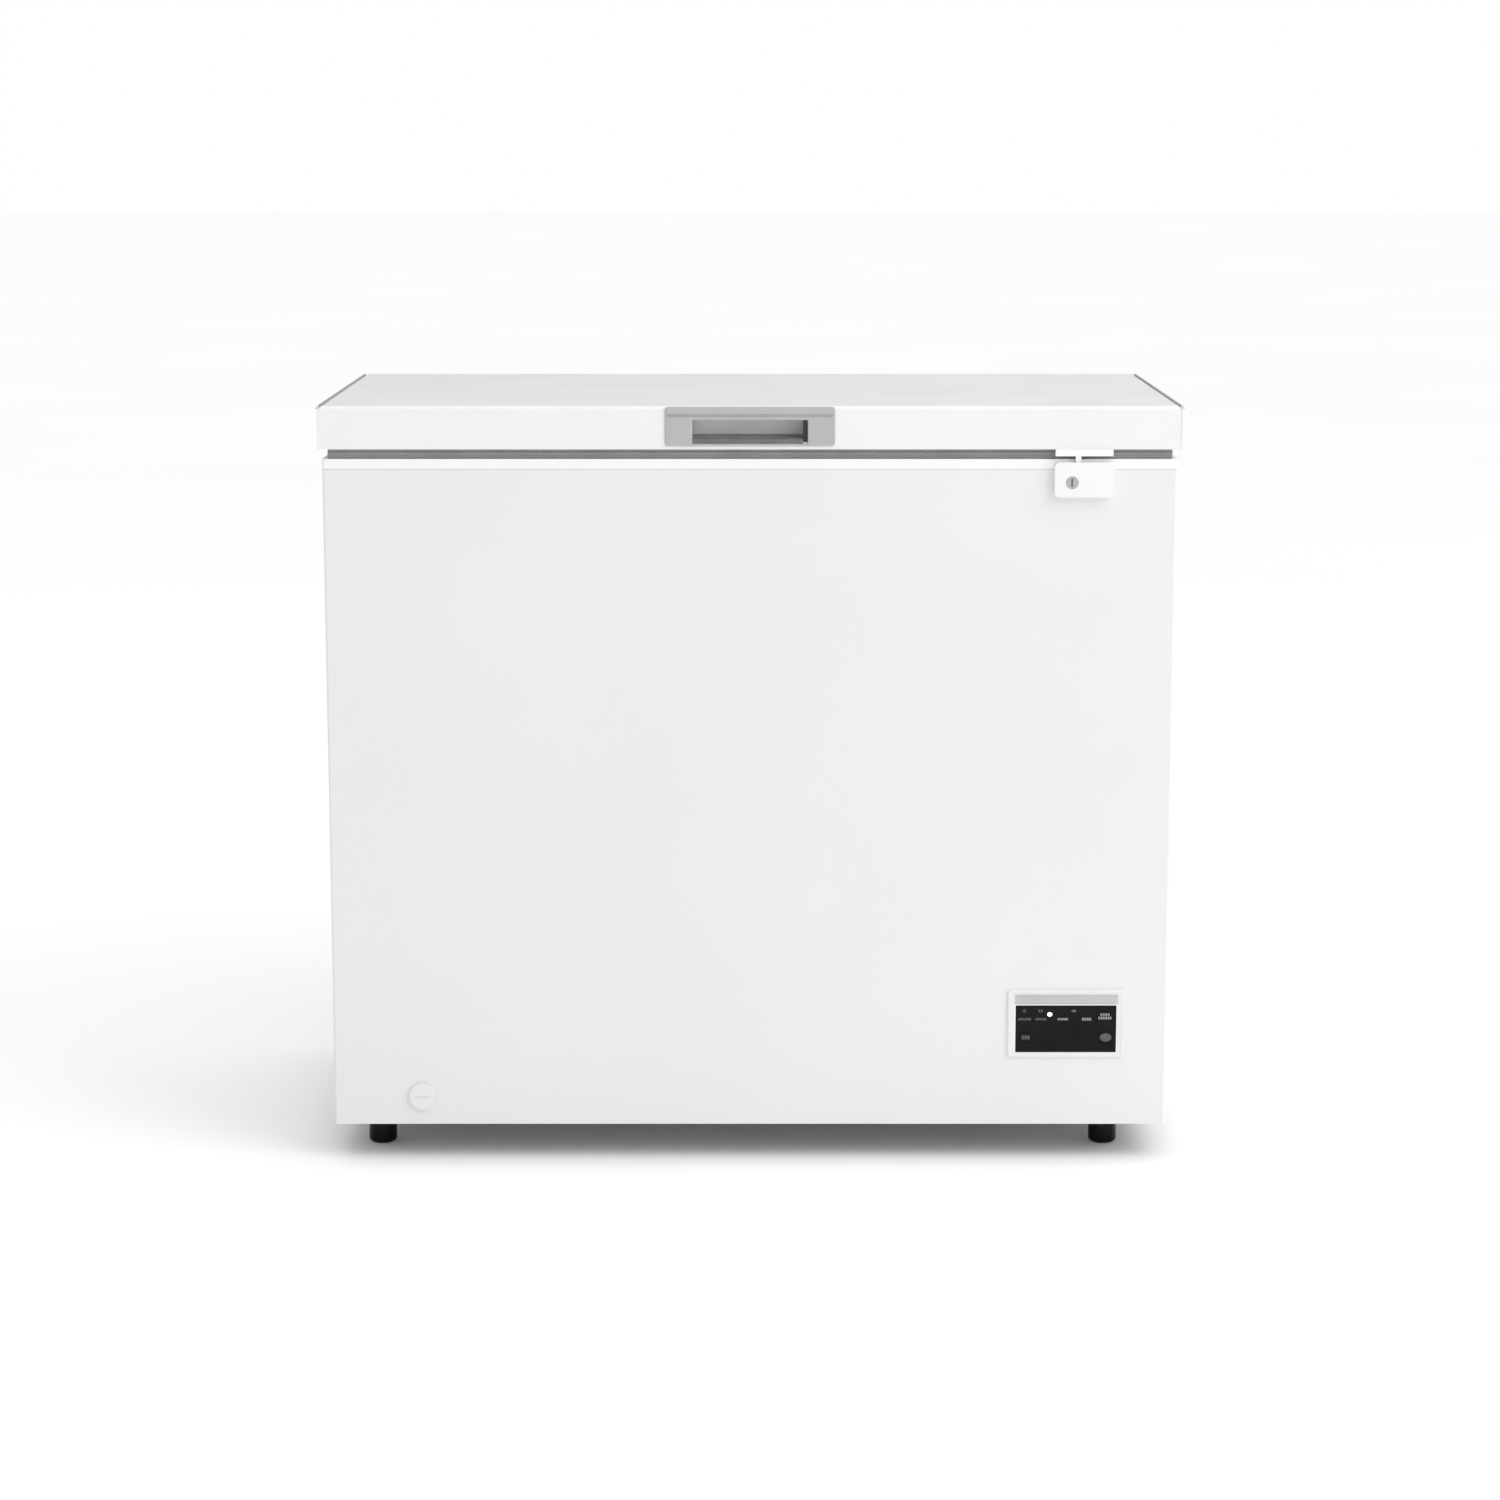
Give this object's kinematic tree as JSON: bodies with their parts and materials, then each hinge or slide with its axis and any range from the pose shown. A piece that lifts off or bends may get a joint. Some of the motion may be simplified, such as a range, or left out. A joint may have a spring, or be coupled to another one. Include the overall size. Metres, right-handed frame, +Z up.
{
  "type": "chest freezer",
  "caption": "White chest freezer with a top-hinged lid, recessed grey handle, key lock, low front control panel, drain cap, wire basket, levelling feet and rear rollers.",
  "frame": {"origin": "on the floor, under the middle of the freezer's overall box", "axes": "+Z up; front (handle, lock and control panel) faces -Y; +X is to the right when seen from the front"},
  "size_m": [0.945, 0.523, 0.85],
  "materials": {
    "painted_sheet": "gloss",
    "zinc_sheet": "satin",
    "foam": "matte",
    "embossed_liner": "satin",
    "white_plastic": "satin",
    "coil_tube": "satin",
    "compressor_paint": "gloss",
    "black_rubber": "matte",
    "fastener": "satin",
    "black_plastic": "satin",
    "copper": "satin",
    "grey_plastic": "matte",
    "display": "gloss",
    "circuit_board": "satin",
    "sensor_steel": "polished",
    "spring_steel": "satin",
    "trim_grey": "satin",
    "gasket": "matte",
    "handle_silver": "satin",
    "handle_grey": "satin",
    "basket_wire": "gloss"
  },
  "bodies": {
    "cabinet": {"outer_case": "painted_sheet", "rear_panel": "zinc_sheet", "base_plate": "zinc_sheet", "compartment_wall": "zinc_sheet", "compressor_tray": "zinc_sheet", "insulation_foam": "foam", "inner_liner": "embossed_liner", "top_frame": "white_plastic", "evaporator_coil": "coil_tube", "condenser_coil": "coil_tube", "compressor": "compressor_paint", "compressor_mounts": "black_rubber", "compressor_bolts": "fastener", "start_relay_cover": "black_plastic", "filter_drier": "copper", "capillary_tube": "copper", "discharge_pipe": "copper", "suction_pipe": "copper", "power_board_box": "grey_plastic", "power_inlet_gland": "black_plastic", "rear_cover": "zinc_sheet", "rear_cover_screws": "fastener", "control_bezel": "white_plastic", "display_window": "display", "display_board": "circuit_board", "drain_tube": "white_plastic", "temperature_sensor": "sensor_steel", "lock_housing": "white_plastic", "hinge_bracket_left": "zinc_sheet", "hinge_bracket_right": "zinc_sheet", "hinge_pins": "fastener", "hinge_spring_left": "spring_steel", "hinge_spring_right": "spring_steel", "hinge_bracket_screws": "fastener", "roller_bracket_left": "zinc_sheet", "roller_bracket_right": "zinc_sheet", "roller_axles": "fastener"},
    "lid": {"lid_panel": "painted_sheet", "lid_end_trim_left": "trim_grey", "lid_end_trim_right": "trim_grey", "lid_foam": "foam", "lid_liner": "white_plastic", "lid_gasket": "gasket", "handle_bezel": "handle_silver", "handle_pocket": "handle_grey", "lid_catch": "white_plastic", "hinge_arm_left": "zinc_sheet", "hinge_arm_right": "zinc_sheet", "hinge_arm_screws": "fastener"},
    "lock_cylinder": {"lock_cylinder": "sensor_steel", "lock_cam": "sensor_steel"},
    "drain_cap": {"drain_cap": "white_plastic"},
    "drain_plug": {"drain_plug": "black_rubber"},
    "mode_key": {"mode_key": "display"},
    "set_key": {"set_key": "display"},
    "basket": {"basket": "basket_wire"},
    "foot_left": {"foot_left": "black_plastic"},
    "foot_right": {"foot_right": "black_plastic"},
    "roller_left": {"roller_left": "black_rubber"},
    "roller_right": {"roller_right": "black_rubber"}
  },
  "joints": [
    {"name": "lid_hinge", "type": "hinge", "parent": "cabinet", "child": "lid", "pos_m": [0, 0.255, 0.797], "axis": [-1, 0, 0], "range_deg": [0, 80]},
    {"name": "lock_turn", "type": "hinge", "parent": "cabinet", "child": "lock_cylinder", "pos_m": [0.352, -0.258, 0.767], "axis": [0, -1, 0], "range_deg": [0, 90]},
    {"name": "drain_cap_pull", "type": "slide", "parent": "cabinet", "child": "drain_cap", "axis": [0, -1, 0], "range_m": [0, 0.03]},
    {"name": "drain_plug_lift", "type": "slide", "parent": "cabinet", "child": "drain_plug", "axis": [0, 0, 1], "range_m": [0, 0.03]},
    {"name": "mode_key_press", "type": "slide", "parent": "cabinet", "child": "mode_key", "axis": [0, 1, 0], "range_m": [0, 0.0008], "stiffness_N_per_m": 800},
    {"name": "set_key_press", "type": "slide", "parent": "cabinet", "child": "set_key", "axis": [0, 1, 0], "range_m": [0, 0.0008], "stiffness_N_per_m": 800},
    {"name": "basket_slide", "type": "slide", "parent": "cabinet", "child": "basket", "axis": [1, 0, 0], "range_m": [-0.62, 0]},
    {"name": "foot_left_screw", "type": "slide", "parent": "cabinet", "child": "foot_left", "axis": [0, 0, -1], "range_m": [0, 0.008]},
    {"name": "foot_right_screw", "type": "slide", "parent": "cabinet", "child": "foot_right", "axis": [0, 0, -1], "range_m": [0, 0.008]},
    {"name": "roller_left_spin", "type": "hinge", "parent": "cabinet", "child": "roller_left", "pos_m": [-0.41, 0.196, 0.016], "axis": [1, 0, 0], "continuous": true},
    {"name": "roller_right_spin", "type": "hinge", "parent": "cabinet", "child": "roller_right", "pos_m": [0.41, 0.196, 0.016], "axis": [1, 0, 0], "continuous": true}
  ]
}
